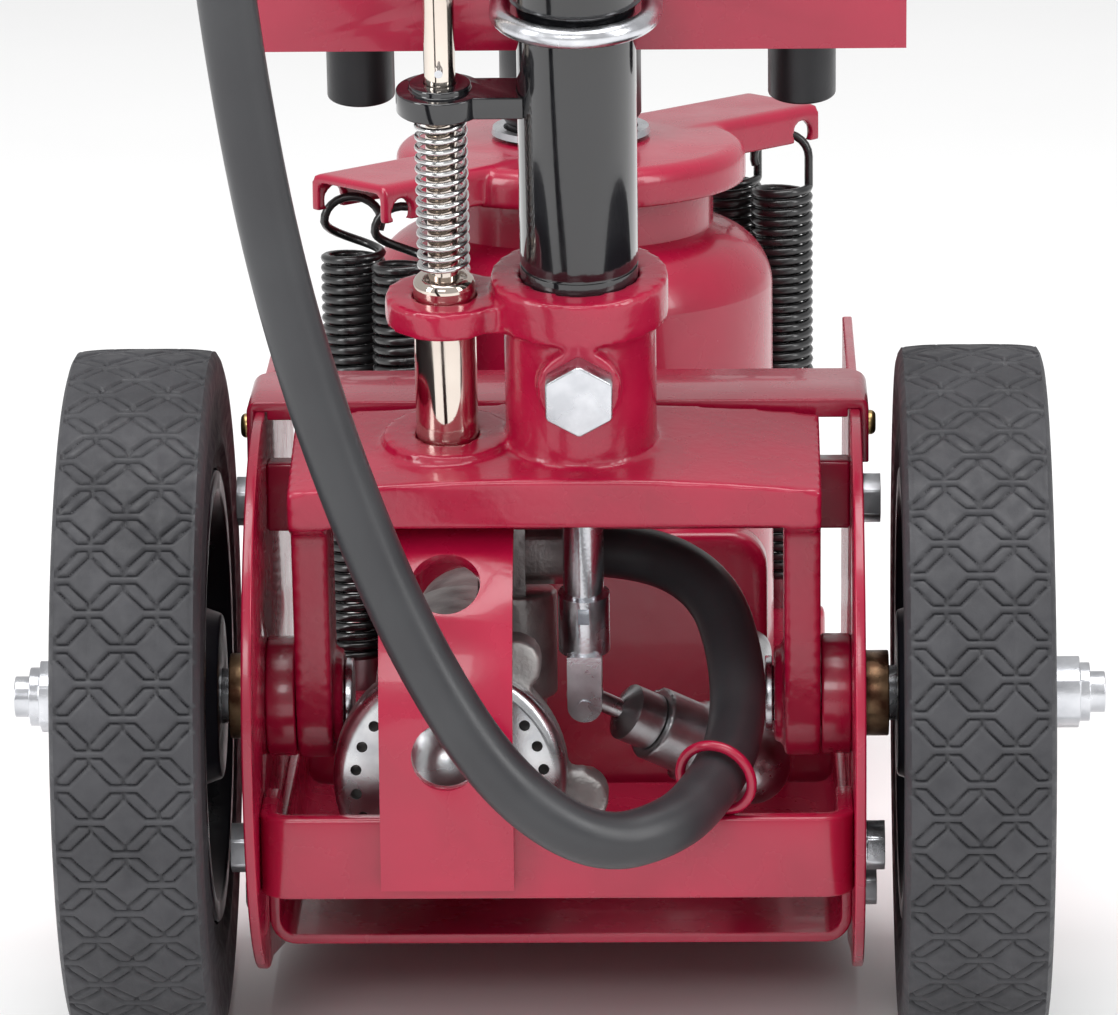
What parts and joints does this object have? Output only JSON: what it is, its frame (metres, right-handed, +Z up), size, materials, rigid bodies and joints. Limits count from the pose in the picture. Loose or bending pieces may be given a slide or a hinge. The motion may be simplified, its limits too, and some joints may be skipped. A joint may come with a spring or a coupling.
{
  "type": "truck jack",
  "caption": "Wheeled air-over-hydraulic axle jack with a tilting, lockable handle, air motor, hose, spring-returned ram and screw-out saddle.",
  "frame": {"origin": "on the floor, on the axis of the lifting ram", "axes": "+Z up along the ram, +Y ahead of the operator, +X to the operator's right"},
  "size_m": [0.338, 0.5822, 1.0374],
  "materials": {
    "red_enamel": "gloss enamel",
    "red_casting": "gloss enamel over a casting",
    "black_enamel": "gloss",
    "black_oxide": "satin black",
    "spring_black": "semi-gloss",
    "spring_zinc": "bright zinc",
    "zinc": "bright zinc plate",
    "nickel": "warm nickel plate",
    "steel": "ground",
    "aluminium_casting": "as cast",
    "galvanised": "galvanised",
    "tyre_rubber": "matt",
    "rim_paint": "satin black",
    "hose_rubber": "satin",
    "grip_rubber": "matt",
    "knob_plastic": "gloss",
    "brass": "satin",
    "rusty_bush": "oiled, rust tinted",
    "lever_red": "gloss"
  },
  "bodies": {
    "frame": {"side_plate_right": "red_enamel", "side_plate_left": "red_enamel", "plate_bosses": "red_enamel", "crossbar": "red_enamel", "lock_strap": "red_enamel", "top_tie": "red_enamel", "bottom_pan": "red_enamel", "top_cover": "red_enamel", "cover_rivets": "brass", "plate_bolts": "zinc", "pan_bolts": "zinc", "stub_axle_right": "zinc", "stub_axle_left": "zinc", "axle_spacers": "rusty_bush", "axle_nuts": "zinc", "base_block": "red_enamel", "oil_tank": "red_enamel", "cylinder": "steel", "spring_anchors": "steel", "return_springs_left": "spring_black", "return_springs_right": "spring_black", "motor_casting": "aluminium_casting", "muffler_cover": "galvanised", "cover_screws": "zinc", "valve_housing": "steel", "air_hose": "hose_rubber", "hose_fitting": "aluminium_casting", "hose_guide": "red_enamel"},
    "wheel_right": {"tyre_right": "tyre_rubber", "rim_right": "rim_paint"},
    "wheel_left": {"tyre_left": "tyre_rubber", "rim_left": "rim_paint"},
    "ram": {"ram": "steel", "ram_cap": "red_enamel", "wiper_ring": "zinc"},
    "saddle": {"extension_saddle": "black_oxide"},
    "air_piston": {"air_piston": "steel"},
    "valve": {"release_valve": "steel"},
    "handle": {"yoke": "red_casting", "handle_lower": "black_enamel", "handle_upper": "black_enamel", "socket_bolt": "zinc", "lock_bracket": "black_enamel", "adapter_tray": "red_enamel", "u_bolt": "zinc", "grip_bar": "black_enamel", "hand_grips": "grip_rubber", "control_valve": "aluminium_casting", "hose_tail": "zinc", "air_inlet": "brass", "lock_spring": "spring_zinc"},
    "lever": {"air_lever": "lever_red"},
    "lock": {"lock_plunger": "nickel", "lock_cotter": "zinc", "lock_knob": "knob_plastic"},
    "release": {"release_rod": "zinc", "release_knob": "knob_plastic"},
    "adapter_left": {"adapter_left": "black_oxide"},
    "adapter_right": {"adapter_right": "black_oxide"}
  },
  "joints": [
    {"name": "wheel_right_spin", "type": "hinge", "parent": "frame", "child": "wheel_right", "pos_m": [0.1196, -0.25, 0.1016], "axis": [1, 0, 0], "continuous": true},
    {"name": "wheel_left_spin", "type": "hinge", "parent": "frame", "child": "wheel_left", "pos_m": [-0.1196, -0.25, 0.1016], "axis": [1, 0, 0], "continuous": true},
    {"name": "handle_tilt", "type": "hinge", "parent": "frame", "child": "handle", "pos_m": [0, -0.25, 0.1016], "axis": [1, 0, 0], "range_deg": [0, 79], "deforming": ["air_hose"]},
    {"name": "lock_lift", "type": "slide", "parent": "handle", "child": "lock", "axis": [0, -0.1994, 0.9799], "range_m": [-0.004, 0.01], "deforming": ["lock_spring"]},
    {"name": "release_turn", "type": "hinge", "parent": "handle", "child": "release", "pos_m": [0.0075, -0.25, 0.1016], "axis": [0, -0.1994, 0.9799], "range_deg": [-10, 0]},
    {"name": "valve_turn", "type": "hinge", "parent": "frame", "child": "valve", "pos_m": [0.0075, -0.25, 0.1016], "axis": [0.8016, 0.3808, -0.4609], "range_deg": [0, 10]},
    {"name": "ram_lift", "type": "slide", "parent": "frame", "child": "ram", "axis": [0, 0, 1], "range_m": [0, 0.12], "stiffness_N_per_m": 500, "springref_m": -0.04, "deforming": ["return_springs_left", "return_springs_right"]},
    {"name": "saddle_extend", "type": "slide", "parent": "ram", "child": "saddle", "axis": [0, 0, 1], "range_m": [0, 0.05]},
    {"name": "air_piston_stroke", "type": "slide", "parent": "frame", "child": "air_piston", "axis": [0, 1, 0], "range_m": [0, 0.012], "stiffness_N_per_m": 300, "springref_m": -0.01},
    {"name": "air_lever_press", "type": "hinge", "parent": "handle", "child": "lever", "pos_m": [-0.03, -0.44328, 0.90112], "axis": [1, 0, 0], "range_deg": [0, 10], "stiffness_Nm_per_rad": 0.4, "springref_deg": -11.46},
    {"name": "adapter_left_lift", "type": "slide", "parent": "handle", "child": "adapter_left", "axis": [0, -0.1994, 0.9799], "range_m": [0, 0.06]},
    {"name": "adapter_right_lift", "type": "slide", "parent": "handle", "child": "adapter_right", "axis": [0, -0.1994, 0.9799], "range_m": [0, 0.06]}
  ],
  "couplings": [
    {"joint": "valve_turn", "follows": "release_turn", "ratio": -1}
  ]
}
